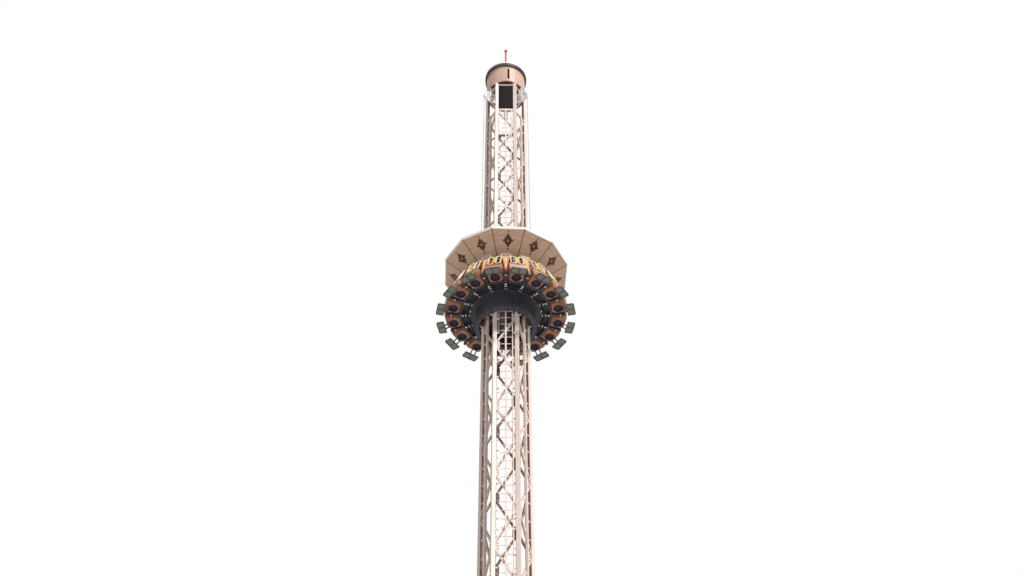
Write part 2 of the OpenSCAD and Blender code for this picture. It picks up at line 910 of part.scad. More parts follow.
module canopy_frame() {
    corner = 1 / cos(corner_angle / 2);
    inner_corner_r = canopy_inner_r * corner;
    rib_end_r = rim_inner_r - panel_seam / 2 * tan(corner_angle / 2) - seat_gap;
    rib_end_z = canopy_z - rim_drop;
    ring_top = arm_z + ring_h + seat_gap;
    color(dark_steel) {
        translate([0, 0, canopy_inner_z - inner_ring_h])
            corner_ring(inner_corner_r - inner_ring_w, inner_corner_r, inner_ring_h,
                canopy_corners, canopy_turn);
        for (i = [0 : canopy_corners - 1])
            on_azimuth(canopy_turn + i * corner_angle) {
                radial_slab(panel_seam)
                    polygon([[inner_corner_r - rib_root, canopy_inner_z - rib_toe],
                        [rib_end_r, rib_end_z], [rib_end_r, rib_end_z + rim_h],
                        [inner_corner_r - rib_root, canopy_inner_z + rib_h]]);
                translate([-canopy_post_w / 2, -post_place - canopy_post_w / 2, ring_top])
                    cube([canopy_post_w, canopy_post_w, canopy_inner_z - ring_top]);
                translate([-canopy_post_w / 2, -inner_corner_r + inner_ring_w / 2,
                    canopy_inner_z - inner_ring_h])
                    cube([canopy_post_w, inner_corner_r - inner_ring_w / 2 - post_place
                        + canopy_post_w / 2, inner_ring_h]);
            }
    }
}

base_frame();
columns();
bracing(1);  // bracing_1
bracing(2);  // bracing_2
bracing(3);  // bracing_3
bracing(4);  // bracing_4
bracing(5);  // bracing_5
bracing(6);  // bracing_6
ladder();
side_rails();
head_beams();
head_drum();
head_roof();
mast();
lamp();
sheave_brackets();
winch_ropes();
lift_ropes();
sheave(1);  // sheave_1
sheave(2);  // sheave_2
sheave(3);  // sheave_3
car_frame();
car_panels();
guide_rollers();
gondola_ring();
seat_arms();
gondola_deck();
seat_shells();
seat_backs();
seat_dividers();
hinge_ring();
footrests();
foot_plates();
canopy_frame();
canopy_panels();
canopy_rim();
restraint(1);  // restraint_01
restraint(2);  // restraint_02
restraint(3);  // restraint_03
restraint(4);  // restraint_04
restraint(5);  // restraint_05
restraint(6);  // restraint_06
restraint(7);  // restraint_07
restraint(8);  // restraint_08
restraint(9);  // restraint_09
restraint(10);  // restraint_10
restraint(11);  // restraint_11
restraint(12);  // restraint_12
restraint(13);  // restraint_13
restraint(14);  // restraint_14
restraint(15);  // restraint_15
restraint(16);  // restraint_16
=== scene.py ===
# Drop tower ride at half size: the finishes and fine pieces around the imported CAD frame.
import math
from itertools import product

import bmesh
import bpy
from mathutils import Matrix, Vector


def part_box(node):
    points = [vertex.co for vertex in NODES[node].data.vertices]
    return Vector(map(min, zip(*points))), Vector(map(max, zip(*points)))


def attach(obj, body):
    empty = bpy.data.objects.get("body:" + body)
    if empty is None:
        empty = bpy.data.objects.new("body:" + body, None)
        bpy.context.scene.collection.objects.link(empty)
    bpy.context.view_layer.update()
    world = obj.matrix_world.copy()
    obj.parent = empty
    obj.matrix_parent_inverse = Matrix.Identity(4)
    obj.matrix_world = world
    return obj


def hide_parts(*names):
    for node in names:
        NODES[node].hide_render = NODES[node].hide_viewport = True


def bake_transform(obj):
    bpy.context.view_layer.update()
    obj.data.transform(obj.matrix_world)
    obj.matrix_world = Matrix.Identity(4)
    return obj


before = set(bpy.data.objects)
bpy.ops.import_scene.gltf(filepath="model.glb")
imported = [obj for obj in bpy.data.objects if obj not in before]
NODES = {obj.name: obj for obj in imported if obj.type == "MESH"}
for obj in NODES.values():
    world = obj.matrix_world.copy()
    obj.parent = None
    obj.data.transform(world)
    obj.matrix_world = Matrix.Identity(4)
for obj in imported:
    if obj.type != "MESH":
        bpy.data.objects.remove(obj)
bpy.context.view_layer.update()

# Camera, in metres and degrees
CAMERA_PLACE = (0.0, -16.744, 0.8)
CAMERA_PITCH = 46.82
CAMERA_LENS = 45.18
CAMERA_SHIFT = 0.00605

# Tower
SIDES = 6
SIDE_STEP = 360 / SIDES
TOWER_R = 0.400
FACE_R = TOWER_R * math.cos(math.pi / SIDES)
FACE_HALF = TOWER_R * math.sin(math.pi / SIDES)
COLUMN_W = 0.064
PANEL_H = 0.715
FIRST_NODE_Z = 0.345
PANELS = 33
HEAD_Z = FIRST_NODE_Z + PANELS * PANEL_H
GUSSET_T = 0.010
BASE_H = 0.080
RAIL_R = 0.3834
RUNG_PITCH = 0.166
CONDUIT_X = 0.120

# Gondola, with its heights from the frame
SEATS = 16
SEAT_STEP = 360 / SEATS
SEAT_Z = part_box("seat_shells")[1].z
SHELL_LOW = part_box("seat_shells")[0].z
BACK_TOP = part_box("seat_backs")[1].z
LIP_R = 1.140
RECESS_PLACE = 0.990
SHELL_BACK_R = 0.850
SHELL_W = 0.320
SHELL_REAR_W = 0.262
BACK_FRONT_R = 0.934
BACK_W = 0.216
PIVOT_R = 0.905
PIVOT_Z = BACK_TOP + 0.032
ARM_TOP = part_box("seat_arms")[1].z
ARM_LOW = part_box("seat_arms")[0].z

# Head and lift car
SLOT_AZIMUTH = 8
SHEAVE_AZIMUTHS = (60, 180, 300)
SHEAVE_PLACE = 0.388
SHEAVE_RISE = 0.720
GROOVE_R = 0.165
DRUM_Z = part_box("head_drum")[0].z
ROLLER_R = 0.028
CAR_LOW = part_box("car_frame")[0].z
CAR_INNER_R = 0.490
CAR_OUTER_R = 0.575
CAR_FACE_R = 0.539

# Canopy
CORNERS = 12
CORNER_STEP = 360 / CORNERS
CANOPY_TURN = CORNER_STEP / 2 + 2.4
RIM_R = 1.205
RIM_DROP = 0.008
RIM_FLAT_R = RIM_R * math.cos(math.radians(CORNER_STEP / 2))
CANOPY_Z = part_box("canopy_rim")[0].z + RIM_DROP
PANEL_SLOPE = 35

# Restraints
LOOP_W = 0.104
LOOP_L = 0.345
LOOP_BAR = 0.014
LOOP_X = 0.073
LOOP_TOP_R = 0.990
LOOP_TOP_DROP = 0.064
LOOP_LEAN = 20
BARREL_R = 0.017
BARREL_HALF = 0.062


# Placements and steps
def move(x, y, z):
    return Matrix.Translation((x, y, z))


def turned(degrees, axis):
    return Matrix.Rotation(math.radians(degrees), 4, axis)


def at(azimuth, radius=0.0, height=0.0):
    """Placement of a piece drawn at the axis, with -Y outwards and +X to the right seen from outside"""
    return turned(azimuth, "Z") @ move(0, -radius, height)


def between(first, second, share):
    return first + (second - first) * share


def spread(first, second, steps):
    """Values in even steps from the first to the second, with both"""
    return [first + (second - first) * k / steps for k in range(steps + 1)]


def rises(low, high, step):
    """Heights in even steps from low, all below high"""
    return [low + k * step for k in range(math.ceil((high - low) / step))]


def full_turn(steps):
    """Angles in even steps round a circle"""
    return [2 * math.pi * k / steps for k in range(steps)]


HERE = Matrix.Identity(4)
OUTWARDS = turned(90, "X")
DOWNWARDS = turned(180, "X")
ACROSS = turned(90, "Y")
AT_SEATS = [at((k + 0.5) * SEAT_STEP) for k in range(SEATS)]
AT_ARMS = [at(k * SEAT_STEP) for k in range(SEATS)]
AT_COLUMNS = [at((k + 0.5) * SIDE_STEP, TOWER_R) for k in range(SIDES)]


def placed(name, data):
    """A new object in the scene"""
    made = bpy.data.objects.new(name, data)
    bpy.context.scene.collection.objects.link(made)
    return made


# Shapes
def outward(mesh):
    """Turns every face's front to the outside"""
    work = bmesh.new()
    work.from_mesh(mesh)
    bmesh.ops.recalc_face_normals(work, faces=work.faces)
    work.to_mesh(mesh)
    work.free()


def soften(mesh, angle):
    """Smooth shading, with creases where faces meet at more than the angle"""
    mesh.polygons.foreach_set("use_smooth", [True] * len(mesh.polygons))
    mesh.set_sharp_from_angle(angle=math.radians(angle))


class Shape:
    """Faces gathered for one mesh, each with its material's number"""

    def __init__(self):
        self.points, self.faces, self.numbers = [], [], []

    def add(self, form, place=HERE, number=0):
        """Adds a form, which is a list of points and a list of faces"""
        points, faces = form
        start = len(self.points)
        self.points += [place @ Vector(point) for point in points]
        self.faces += [tuple(start + i for i in face) for face in faces]
        self.numbers += [number] * len(faces)
        return self

    def repeat(self, other, places):
        """Adds another shape at each of the places"""
        for place in places:
            start = len(self.points)
            self.points += [place @ point for point in other.points]
            self.faces += [tuple(start + i for i in face) for face in other.faces]
            self.numbers += other.numbers
        return self

    def piece(self, name, body, slot, materials, crease):
        """Makes the mesh and its object, which rides on the body if one is named"""
        mesh = bpy.data.meshes.new(name)
        mesh.from_pydata([tuple(p) for p in self.points], [], self.faces)
        for material in materials:
            mesh.materials.append(material)
        mesh.polygons.foreach_set("material_index", self.numbers)
        mesh.validate()
        outward(mesh)
        soften(mesh, crease)
        mesh.update()
        piece = placed(name, mesh)
        if body:
            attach(piece, body)
        return piece


def block(size, bevel=0.0):
    """A box about the origin with chamfered edges"""
    half = [s / 2 for s in size]
    if not bevel:
        points = list(product(*((-h, h) for h in half)))
        return points, [(0, 1, 3, 2), (4, 6, 7, 5), (0, 4, 5, 1), (2, 3, 7, 6), (0, 2, 6, 4), (1, 5, 7, 3)]
    points, number, faces = [], {}, []
    # Each corner is three points, one on each side of the box, and the triangle between them
    for signs in product((-1, 1), repeat=3):
        for axis in range(3):
            number[signs, axis] = len(points)
            points.append([signs[k] * (half[k] - (0 if k == axis else bevel)) for k in range(3)])
        faces.append([number[signs, axis] for axis in range(3)])
    for axis in range(3):
        u, v = (axis + 1) % 3, (axis + 2) % 3
        for side in (-1, 1):
            ring = []
            for su, sv in ((-1, -1), (1, -1), (1, 1), (-1, 1)):
                signs = [0, 0, 0]
                signs[axis], signs[u], signs[v] = side, su, sv
                ring.append(number[tuple(signs), axis])
            faces.append(ring)
        for su, sv in product((-1, 1), repeat=2):
            low, high = [0, 0, 0], [0, 0, 0]
            low[axis], high[axis] = -1, 1
            low[u] = high[u] = su
            low[v] = high[v] = sv
            low, high = tuple(low), tuple(high)
            faces.append([number[low, u], number[high, u], number[high, v], number[low, v]])
    return points, faces


def lathe(profile, steps):
    """Turns (radius, height) points round Z. A solid closes on the axis, and a ring on its first point."""
    points, faces, rings = [], [], []
    for radius, height in profile:
        if radius:
            rings.append(range(len(points), len(points) + steps))
            points += [(radius * math.cos(a), radius * math.sin(a), height) for a in full_turn(steps)]
        else:
            rings.append([len(points)] * steps)
            points.append((0, 0, height))
    if profile[0][0] and profile[-1][0]:
        rings.append(rings[0])
    for low, high in zip(rings, rings[1:]):
        for k in range(steps):
            n = (k + 1) % steps
            face = tuple(dict.fromkeys((low[k], low[n], high[n], high[k])))
            if len(face) > 2:
                faces.append(face)
    return points, faces


def loft(rings, closed=False):
    """Joins rings with the same number of points, and then caps the ends or joins them to each other"""
    width, count = len(rings[0]), len(rings)
    points = [p for ring in rings for p in ring]
    faces = []
    for k in range(count if closed else count - 1):
        n = (k + 1) % count
        for s in range(width):
            t = (s + 1) % width
            faces.append((k * width + s, k * width + t, n * width + t, n * width + s))
    if not closed:
        faces.append(tuple(range(width))[::-1])
        faces.append(tuple((count - 1) * width + s for s in range(width)))
    return points, faces


def tube(path, radius, sides, closed=False, flat=1.0):
    """Sweeps a round section along a path. Flat squashes the section's second side."""
    path = [Vector(p) for p in path]
    count = len(path)
    rings = []
    normal = None
    for k, place in enumerate(path):
        before = path[k - 1] if k or closed else place
        after = path[(k + 1) % count] if k < count - 1 or closed else place
        along = (after - before).normalized()
        if normal is None:
            normal = Vector((0, 0, 1)) if abs(along.z) < 0.9 else Vector((1, 0, 0))
        normal = (normal - along * normal.dot(along)).normalized()
        across = along.cross(normal)
        rings.append([place + radius * (math.cos(a) * normal + flat * math.sin(a) * across)
                      for a in full_turn(sides)])
    return loft(rings, closed)


def prism(outline, low, high, bevel):
    """Extrudes a flat outline of (x, y) points, with chamfered edges at both ends"""
    if sum(a[0] * b[1] - b[0] * a[1] for a, b in zip(outline, outline[1:] + outline[:1])) < 0:
        outline = outline[::-1]
    inner = []
    for before, here, after in zip(outline[-1:] + outline, outline, outline[1:] + outline[:1]):
        back, ahead = Vector(here) - Vector(before), Vector(after) - Vector(here)
        mitre = Vector((-back.y, back.x)).normalized() + Vector((-ahead.y, ahead.x)).normalized()
        inner.append(Vector(here) + mitre * 2 / mitre.length_squared * bevel)
    levels = ((inner, low), (outline, low + bevel), (outline, high - bevel), (inner, high))
    return loft([[(*point, z) for point in ring] for ring, z in levels])


def superellipse(half_w, half_d, power, steps):
    """Points of a rounded rectangle about the origin"""
    out = []
    for angle in full_turn(steps):
        c, s = math.cos(angle), math.sin(angle)
        out.append((math.copysign(abs(c) ** (2 / power), c) * half_w,
                    math.copysign(abs(s) ** (2 / power), s) * half_d))
    return out


def bolt(radius, height):
    """A washer and a six-sided head, pointing along +Z"""
    washer = [(0, 0), (1.6 * radius, 0), (1.6 * radius, 0.2 * height), (0, 0.2 * height)]
    head = [(0, 0.2 * height), (radius, 0.2 * height), (radius, 0.85 * height), (0.8 * radius, height),
            (0, height)]
    return Shape().add(lathe(washer, 10)).add(lathe(head, 6))


# Finishes
def srgb(red, green, blue):
    """A colour given as it looks on a screen, from 0 to 255, as the shader needs it"""
    out = []
    for value in (red, green, blue):
        share = value / 255
        out.append(share / 12.92 if share <= 0.04045 else ((share + 0.055) / 1.055) ** 2.4)
    return (*out, 1.0)


class Tree:
    """A node tree with short calls. An input takes a plain value or another node's output."""

    def __init__(self, tree):
        self.tree = tree

    def feed(self, node, inputs):
        for key, value in inputs.items():
            if isinstance(value, bpy.types.NodeSocket):
                self.tree.links.new(value, node.inputs[key])
            else:
                node.inputs[key].default_value = value

    def node(self, kind, inputs, **choices):
        """Adds a node, makes its choices and feeds its inputs"""
        made = self.tree.nodes.new(kind)
        for name, value in choices.items():
            setattr(made, name, value)
        self.feed(made, inputs)
        return made

    def combine(self, operation, first, second):
        return self.node("ShaderNodeMath", {0: first, 1: second}, operation=operation).outputs[0]


class Finish(Tree):
    """A material round the standard shader"""

    def __init__(self, name):
        self.material = bpy.data.materials.new(name)
        self.material.use_nodes = True
        super().__init__(self.material.node_tree)
        self.shader = self.tree.nodes["Principled BSDF"]

    def done(self, inputs):
        """Feeds the shader, and hands over the material"""
        self.feed(self.shader, inputs)
        return self.material

    def place(self):
        return self.node("ShaderNodeTexCoord", {}).outputs["Object"]

    def scaled(self, scale):
        """The object's coordinates times one number, or one for each axis"""
        factors = scale if isinstance(scale, tuple) else (scale, scale, scale)
        return self.node("ShaderNodeMapping", {"Vector": self.place(), "Scale": factors}).outputs["Vector"]

    def noise(self, scale, detail=4.0, roughness=0.6):
        inputs = {"Vector": self.scaled(scale), "Scale": 1.0, "Detail": detail, "Roughness": roughness}
        return self.node("ShaderNodeTexNoise", inputs).outputs["Fac"]

    def ramp(self, value, low, high):
        """Turns a value into nought below low and one above high, smoothly"""
        inputs = {"Value": value, "From Min": low, "From Max": high}
        return self.node("ShaderNodeMapRange", inputs, interpolation_type="SMOOTHSTEP").outputs["Result"]

    def patches(self, scale, low, high, detail=4.0, roughness=0.6):
        """Noise that is nought below low and one above high"""
        return self.ramp(self.noise(scale, detail, roughness), low, high)

    def wave(self, scale, distortion=0.0, **choices):
        inputs = {"Vector": self.scaled(1), "Scale": scale, "Distortion": distortion}
        return self.node("ShaderNodeTexWave", inputs, **choices).outputs["Fac"]

    def mix(self, share, first, second, amount=1.0):
        """Blends two colours by a share, which amount weakens"""
        if amount < 1:
            share = self.combine("MULTIPLY", share, amount)
        inputs = {"Factor": share, "A": first, "B": second}
        return self.node("ShaderNodeMix", inputs, data_type="RGBA").outputs["Result"]

    def bump(self, height, strength, distance):
        inputs = {"Height": height, "Strength": strength, "Distance": distance}
        self.feed(self.shader, {"Normal": self.node("ShaderNodeBump", inputs).outputs["Normal"]})

    def vary_roughness(self, value, low, high):
        inputs = {"Value": value, "To Min": low, "To Max": high}
        self.feed(self.shader, {"Roughness": self.node("ShaderNodeMapRange", inputs).outputs["Result"]})

    def vector(self, operation, *inputs):
        return self.node("ShaderNodeVectorMath", dict(enumerate(inputs)), operation=operation)

    def axis_shade_mask(self):
        """One on faces that look towards the tower's axis, and nought on the others: it places the painted
        shade of the lattice's inside
        """
        where = self.node("ShaderNodeNewGeometry", {}).outputs
        flat = self.vector("MULTIPLY", where["Position"], (1, 1, 0))
        unit = self.vector("NORMALIZE", flat.outputs[0])
        facing = self.vector("DOT_PRODUCT", unit.outputs[0], where["True Normal"])
        return self.ramp(self.combine("MULTIPLY", facing.outputs["Value"], -1.0), 0.05, 0.30)


def paint(name, colour, faded, grime, grime_amount=0.35, rough=(0.38, 0.6), inner=None):
    """Outdoor paint: faded patches, rain streaks that run down, and a fine orange-peel surface.
    The sides that look towards the axis can take the inner colour, which is painted shade for the inside of
    the lattice."""
    look = Finish(name)
    base = look.mix(look.patches((3.1, 3.1, 1.3), 0.35, 0.7), colour, faded)
    streaks = look.patches((38, 38, 1.6), 0.52, 0.78, 5.0, 0.7)
    base = look.mix(streaks, base, grime, grime_amount)
    specks = look.patches((140, 140, 90), 0.66, 0.74, 3.0)
    base = look.mix(specks, base, grime, 0.6 * grime_amount)
    # Painted shade: faces that look towards the axis turn to the inner colour, as the inside of the lattice
    # lies in shade
    if inner:
        base = look.mix(look.axis_shade_mask(), base, inner, 0.9)
    look.vary_roughness(look.noise((9, 9, 4)), *rough)
    look.bump(look.noise(260, 2.0), 0.12, 0.0006)
    return look.done({"Base Color": base})


def moulded(name, colour, shade, rough=(0.40, 0.58)):
    """Glass-fibre skin: a satin gel coat with slight waves, and specks of dust"""
    look = Finish(name)
    base = look.mix(look.patches(7, 0.38, 0.72, 5.0), colour, shade)
    base = look.mix(look.patches(210, 0.68, 0.76, 2.0), base, shade, 0.5)
    look.vary_roughness(look.noise(26), *rough)
    look.bump(look.noise(46, 3.0), 0.10, 0.002)
    return look.done({"Base Color": base, "Coat Weight": 0.1, "Coat Roughness": 0.35})


def vinyl(name, colour, worn):
    """Padded vinyl: a leather-like grain and paler, smoother worn places"""
    look = Finish(name)
    wear = look.patches(11, 0.45, 0.75, 5.0)
    cells = look.node("ShaderNodeTexVoronoi", {"Vector": look.scaled(420), "Scale": 1.0},
                      feature="DISTANCE_TO_EDGE")
    look.vary_roughness(wear, 0.55, 0.38)
    look.bump(look.ramp(cells.outputs["Distance"], 0.0, 0.22), 0.35, 0.0008)
    return look.done({"Base Color": look.mix(wear, colour, worn)})


def metal(name, colour, dark, rough=(0.25, 0.5)):
    """Bare metal with fine marks and dull patches"""
    look = Finish(name)
    marks = look.noise(60, 4.0, 0.7)
    look.vary_roughness(marks, *rough)
    look.bump(marks, 0.08, 0.0005)
    return look.done({"Base Color": look.mix(look.patches(14, 0.42, 0.7), colour, dark), "Metallic": 0.9})


def wire_rope(name):
    """Greased steel rope, with pale and dark bands for its strands"""
    look = Finish(name)
    strands = look.wave(40.0, 1.2, bands_direction="Z")
    look.bump(strands, 0.5, 0.002)
    base = look.mix(strands, srgb(96, 94, 92), srgb(206, 204, 200))
    return look.done({"Base Color": base, "Metallic": 0.6, "Roughness": 0.36})


def tread(name):
    """Grey-green deck plate with a grid of raised fields, and scuffs"""
    look = Finish(name)
    grid = look.node("ShaderNodeTexBrick", {"Vector": look.scaled(90), "Scale": 1.0, "Mortar Size": 0.16,
                                            "Mortar Smooth": 0.4}).outputs["Fac"]
    scuffs = look.patches(34, 0.45, 0.68, 6.0, 0.7)
    base = look.mix(scuffs, srgb(152, 158, 142), srgb(182, 184, 170))
    base = look.mix(grid, base, srgb(104, 108, 98), 0.6)
    look.vary_roughness(scuffs, 0.62, 0.42)
    look.bump(grid, -0.4, 0.0015)
    return look.done({"Base Color": base, "Metallic": 0.25})


def faded_panel(name):
    """Tan-brown canopy skin: boards that run along the rim, with dark grooves and faint weathering"""
    look = Finish(name)
    groove = look.ramp(look.wave(6.0, bands_direction="Z", wave_profile="SAW"), 0.90, 0.97)
    grain = look.noise((5, 5, 60), 6.0, 0.75)
    base = look.mix(look.ramp(grain, 0.35, 0.7), srgb(226, 190, 162), srgb(206, 168, 142))
    base = look.mix(groove, base, srgb(130, 102, 86), 0.35)
    base = look.mix(look.patches(4, 0.5, 0.8, 5.0), base, srgb(150, 122, 106), 0.4)
    look.vary_roughness(grain, 0.45, 0.7)
    look.bump(groove, -0.35, 0.002)
    return look.done({"Base Color": base})


def graded(name, low_colour, high_colour, low_z, high_z):
    """Moulded skin whose colour turns from one to the other with height"""
    look = Finish(name)
    height = look.node("ShaderNodeSeparateXYZ", {0: look.place()}).outputs["Z"]
    base = look.mix(look.ramp(height, low_z, high_z), low_colour, high_colour)
    dirt = look.patches((40, 40, 12), 0.5, 0.8, 5.0)
    base = look.mix(dirt, base, srgb(150, 84, 40), 0.35)
    look.vary_roughness(dirt, 0.3, 0.5)
    look.bump(look.noise(60), 0.08, 0.002)
    return look.done({"Base Color": base, "Coat Weight": 0.2})


def lens(name, colour, rib_highlight):
    """A lamp's ribbed cover, with paler bands across its ribs that are painted highlights"""
    look = Finish(name)
    ribs = look.wave(60.0)
    look.bump(ribs, 0.3, 0.002)
    return look.done({"Base Color": look.mix(ribs, colour, rib_highlight), "Roughness": 0.15, "Coat Weight": 0.5})


# The inner colour of the sand paint is painted shade on the lattice's sides that face the axis
SAND = paint("sand_paint", srgb(242, 220, 208), srgb(250, 233, 223), srgb(164, 126, 108), 0.33,
             inner=srgb(122, 88, 76))
SAND_DEEP = paint("drum_paint", srgb(212, 176, 154), srgb(224, 192, 172), srgb(132, 98, 82), 0.45)
PALE = paint("pale_paint", srgb(232, 224, 218), srgb(244, 240, 236), srgb(170, 150, 138), 0.25)
ROOF = paint("roof_paint", srgb(48, 42, 46), srgb(64, 58, 60), srgb(30, 26, 28), 0.5, (0.45, 0.7))
WHITE = paint("white_paint", srgb(248, 247, 245), srgb(252, 251, 250), srgb(190, 178, 168), 0.18)
RED = paint("red_paint", srgb(196, 52, 52), srgb(214, 96, 88), srgb(110, 30, 30), 0.3)
DARK = paint("frame_paint", srgb(60, 57, 69), srgb(76, 72, 85), srgb(36, 33, 40), 0.4, (0.35, 0.6))
HOUSING = paint("housing_paint", srgb(150, 124, 106), srgb(166, 142, 122), srgb(92, 74, 64), 0.35)
CREAM = paint("cream_trim", srgb(244, 224, 196), srgb(250, 236, 214), srgb(190, 150, 110), 0.25)
TUBE_WHITE = paint("tube_white", srgb(246, 238, 226), srgb(252, 248, 240), srgb(200, 176, 150), 0.2,
                   (0.25, 0.4))
SHELL = moulded("shell_orange", srgb(186, 124, 86), srgb(146, 100, 78))
SHELL_BACK = moulded("back_orange", srgb(196, 116, 62), srgb(160, 92, 54))
# The recess under each shell is dark blue: painted shade in the hollow
RECESS_SHADE = moulded("recess_painted_shade", srgb(40, 44, 70), srgb(28, 30, 48), (0.4, 0.6))
# Painted highlight: the divider turns from orange to yellow towards the top, and its core is pale
DIVIDER = graded("divider_graded", srgb(226, 122, 44), srgb(248, 200, 60), SEAT_Z + 0.02, BACK_TOP)
DIVIDER_CORE_HIGHLIGHT = moulded("divider_core", srgb(240, 204, 184), srgb(222, 170, 140))
YELLOW = vinyl("pad_yellow", srgb(240, 190, 48), srgb(248, 212, 96))
SEAT_VINYL = vinyl("seat_vinyl", srgb(96, 66, 50), srgb(124, 90, 68))
PLATE = tread("foot_tread")
PANEL = faded_panel("panel_skin")
ORNAMENT = paint("ornament_brown", srgb(86, 56, 46), srgb(104, 72, 58), srgb(60, 38, 32), 0.4)
STEEL = metal("bright_steel", srgb(196, 198, 200), srgb(140, 142, 146))
ZINC = metal("zinc_bolts", srgb(176, 170, 160), srgb(120, 112, 104), (0.35, 0.6))
ROPE = wire_rope("wire_rope")
TYRE = vinyl("roller_tyre", srgb(206, 202, 196), srgb(226, 224, 220))
HOSE = vinyl("hose_black", srgb(28, 28, 32), srgb(44, 44, 50))
LAMP_RED = lens("lamp_red", srgb(226, 96, 88), srgb(248, 176, 160))
# The arm lamps' pale blue-white glass is a painted glint; the lamps give no light
LAMP_CLEAR = lens("lamp_clear", srgb(196, 214, 240), srgb(240, 244, 250))


def dress(names, material):
    """Gives carried-over CAD nodes their finish"""
    for name in names:
        mesh = NODES[name].data
        mesh.materials.clear()
        mesh.materials.append(material)
        soften(mesh, 30)


dress(["base_frame", "columns", "side_rails", "head_beams", "ladder"]
      + [f"bracing_{side}" for side in range(1, SIDES + 1)], SAND)
dress(["head_drum"], SAND_DEEP)
dress(["head_roof"], ROOF)
dress(["mast"], RED)
dress(["lamp"], LAMP_RED)
dress(["sheave_brackets", "sheave_1", "sheave_2", "sheave_3", "canopy_rim"], WHITE)
dress(["winch_ropes", "lift_ropes"], ROPE)
dress(["car_frame", "car_panels", "gondola_ring", "seat_arms", "gondola_deck", "footrests",
       "canopy_frame"], DARK)
dress(["guide_rollers"], STEEL)
dress(["seat_shells"], SHELL)
dress(["seat_backs"], SHELL_BACK)
dress(["seat_dividers"], DIVIDER)
dress(["hinge_ring"], HOUSING)
dress(["foot_plates"], PLATE)
dress(["canopy_panels"], PANEL)
dress([f"restraint_{number:02d}" for number in range(1, SEATS + 1)], YELLOW)


# Seats
def shell_section(radius):
    """Half width and depth of a seat shell where it is cut at a radius"""
    tail, nose = 0.060, 0.070
    full = SEAT_Z - SHELL_LOW
    half = between(SHELL_REAR_W, SHELL_W, (radius - SHELL_BACK_R) / (LIP_R - SHELL_BACK_R)) / 2
    depth = full
    if radius < SHELL_BACK_R + tail:
        depth = full - tail + math.sqrt(max(tail ** 2 - (SHELL_BACK_R + tail - radius) ** 2, 0))
    if radius > LIP_R - nose:
        depth = full - nose + math.sqrt(max(nose ** 2 - (radius - LIP_R + nose) ** 2, 0))
    return half, depth


def seat_shell():
    """One moulded shell: a round belly with a dished recess under it, and a hollowed seat on top"""
    recess_r, recess_edge, recess_depth = 0.082, 0.012, 0.058
    hollow_depth, squareness = 0.022, 0.42
    stations, around, across = 52, 44, 14
    rings = []
    for turn in spread(0, math.pi, stations):
        radius = (SHELL_BACK_R + LIP_R) / 2 - (LIP_R - SHELL_BACK_R) / 2 * math.cos(turn)
        half, depth = shell_section(radius)
        ring = []
        for angle in spread(0, math.pi, around):
            c, s = math.cos(angle), math.sin(angle)
            x = math.copysign(abs(c) ** squareness, c) * half
            z = SEAT_Z - depth * abs(s) ** squareness
            away = math.hypot(x, radius - RECESS_PLACE)
            dish = min(max((recess_r - away) / recess_edge, 0), 1)
            if s > 0.5:
                z += recess_depth * dish * dish * (3 - 2 * dish)
            ring.append((x, -radius, z))
        for x in spread(-half, half, across)[1:-1]:
            hollow = hollow_depth * (1 - abs(x / half) ** 3) * min(1, 2.5 * math.sin(turn))
            ring.append((x, -radius, SEAT_Z - hollow))
        rings.append(ring)
    # The cup takes the recess colour, which is painted shade in the hollow under the shell
    cup = lathe([(0.091, 0.002), (0.090, -0.004), (0.079, -0.005), (0.075, 0.004), (0.070, 0.030),
                 (0.058, 0.043), (0.032, 0.049), (0.0, 0.050), (0.0, 0.053), (0.060, 0.048),
                 (0.078, 0.030), (0.082, 0.004)], 48)
    return Shape().add(loft(rings)).add(cup, at(0, RECESS_PLACE, SHELL_LOW), 1)


def shell_edge(radii, grow, front_half, corner, drop):
    """Path round the sides and front of a shell, outside it by grow and below its lip by drop"""
    path = [(-shell_section(radius)[0] - grow, -radius, SEAT_Z - drop) for radius in radii]
    for turn in spread(0, math.pi / 2, 6)[1:-1]:
        path.append((corner - front_half - corner * math.cos(turn),
                     corner - LIP_R - grow - corner * math.sin(turn), SEAT_Z - drop))
    return path + [(-x, y, z) for x, y, z in path[::-1]]


def make_seats():
    """Shells with a rolled edge along the top, and a cream strip below it"""
    front_half = shell_section(LIP_R)[0]
    roll_in = 0.004
    roll = shell_edge(spread(SHELL_BACK_R + 0.10, LIP_R - 0.022, 6), grow=-roll_in,
                      front_half=front_half - roll_in, corner=0.020, drop=0.004)
    one = seat_shell().add(tube(roll, 0.0085, 8))
    piece = Shape().repeat(one, AT_SEATS).piece("moulded_shells", "gondola", "shell_orange",
                                                [SHELL, RECESS_SHADE], 40)
    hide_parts("seat_shells")
    strip = shell_edge(spread(SHELL_BACK_R + 0.03, LIP_R - 0.02, 8), grow=0.001,
                       front_half=front_half, corner=0.018, drop=0.066)
    one = Shape().add(tube(strip, 0.0065, 8, flat=0.7))
    Shape().repeat(one, AT_SEATS).piece("shell_trims", "gondola", "rim_white", [CREAM], 50)


